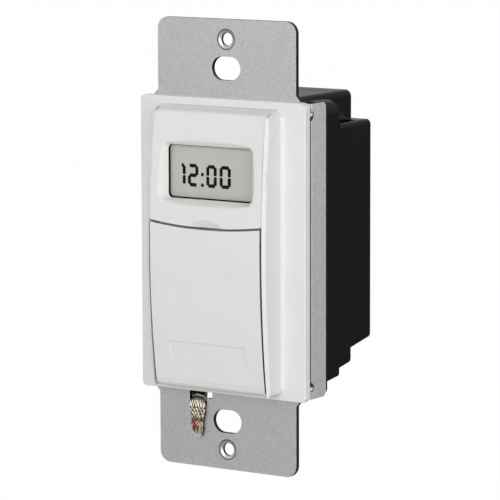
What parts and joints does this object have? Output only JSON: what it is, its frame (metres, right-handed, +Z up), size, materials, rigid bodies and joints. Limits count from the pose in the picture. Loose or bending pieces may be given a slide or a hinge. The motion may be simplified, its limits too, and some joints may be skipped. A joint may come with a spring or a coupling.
{
  "type": "timer light switch",
  "caption": "Wall-box timer switch: bowed white front with a display over a hinged door, steel mounting strap and stepped black rear housing.",
  "frame": {"origin": "centre of the strap's rear face, midway between the box-screw slots", "axes": "+X to the right seen from the front, +Y into the wall, +Z up"},
  "size_m": [0.0458, 0.04, 0.1062],
  "materials": {
    "zinc": "galvanised, mottled",
    "copper": "bare stranded wire, partly tinned",
    "green": "wire insulation",
    "white": "satin moulded",
    "clear": "clear",
    "display": "grey liquid crystal glass",
    "strip": "layered rubber",
    "board": "solder mask",
    "black": "moulded",
    "housing": "satin moulded",
    "steel": "plain",
    "relay": "moulded",
    "film": "moulded",
    "can": "sleeve",
    "blue": "dipped",
    "resistor": "dipped",
    "cell": "bare sleeve",
    "cap": "satin moulded",
    "stem": "moulded"
  },
  "bodies": {
    "base": {"mounting_strap": "zinc", "ground_strands": "copper", "ground_lead": "green", "front_cover": "white", "display_panel": "white", "display_window": "clear", "display_holder": "black", "display_glass": "display", "upper_contact_strip": "strip", "lower_contact_strip": "strip", "control_board": "board", "microcontroller": "black", "crystal": "steel", "switch_bodies": "black", "board_header": "black", "power_board": "board", "relay": "relay", "film_capacitor": "film", "electrolytic_capacitor": "can", "varistor": "blue", "dropping_resistor": "resistor", "rear_housing": "housing", "housing_screws": "steel", "board_screws": "steel", "battery_tray": "white", "battery_cell": "cell", "battery_contacts": "steel"},
    "on_off": {"on_off_button": "cap", "on_off_stem": "stem", "hinge_pin": "steel"},
    "mode": {"mode_button": "cap", "mode_stem": "stem"},
    "plus": {"plus_button": "cap", "plus_stem": "stem"},
    "minus": {"minus_button": "cap", "minus_stem": "stem"},
    "reset": {"reset_button": "cap", "reset_stem": "stem"},
    "door": {"door": "white"}
  },
  "joints": [
    {"name": "on_off_press", "type": "hinge", "parent": "base", "child": "on_off", "pos_m": [0, -0.0068, -0.03145], "axis": [1, 0, 0], "range_deg": [-0.9, 0], "stiffness_Nm_per_rad": 2},
    {"name": "door_swing", "type": "hinge", "parent": "on_off", "child": "door", "pos_m": [0, -0.0068, -0.03145], "axis": [1, 0, 0], "range_deg": [0, 95]},
    {"name": "mode_press", "type": "slide", "parent": "base", "child": "mode", "axis": [0, 1, 0], "range_m": [0, 0.0005], "stiffness_N_per_m": 1500},
    {"name": "plus_press", "type": "slide", "parent": "base", "child": "plus", "axis": [0, 1, 0], "range_m": [0, 0.0005], "stiffness_N_per_m": 1500},
    {"name": "minus_press", "type": "slide", "parent": "base", "child": "minus", "axis": [0, 1, 0], "range_m": [0, 0.0005], "stiffness_N_per_m": 1500},
    {"name": "reset_press", "type": "slide", "parent": "base", "child": "reset", "axis": [0, 1, 0], "range_m": [0, 0.0005], "stiffness_N_per_m": 1500}
  ]
}
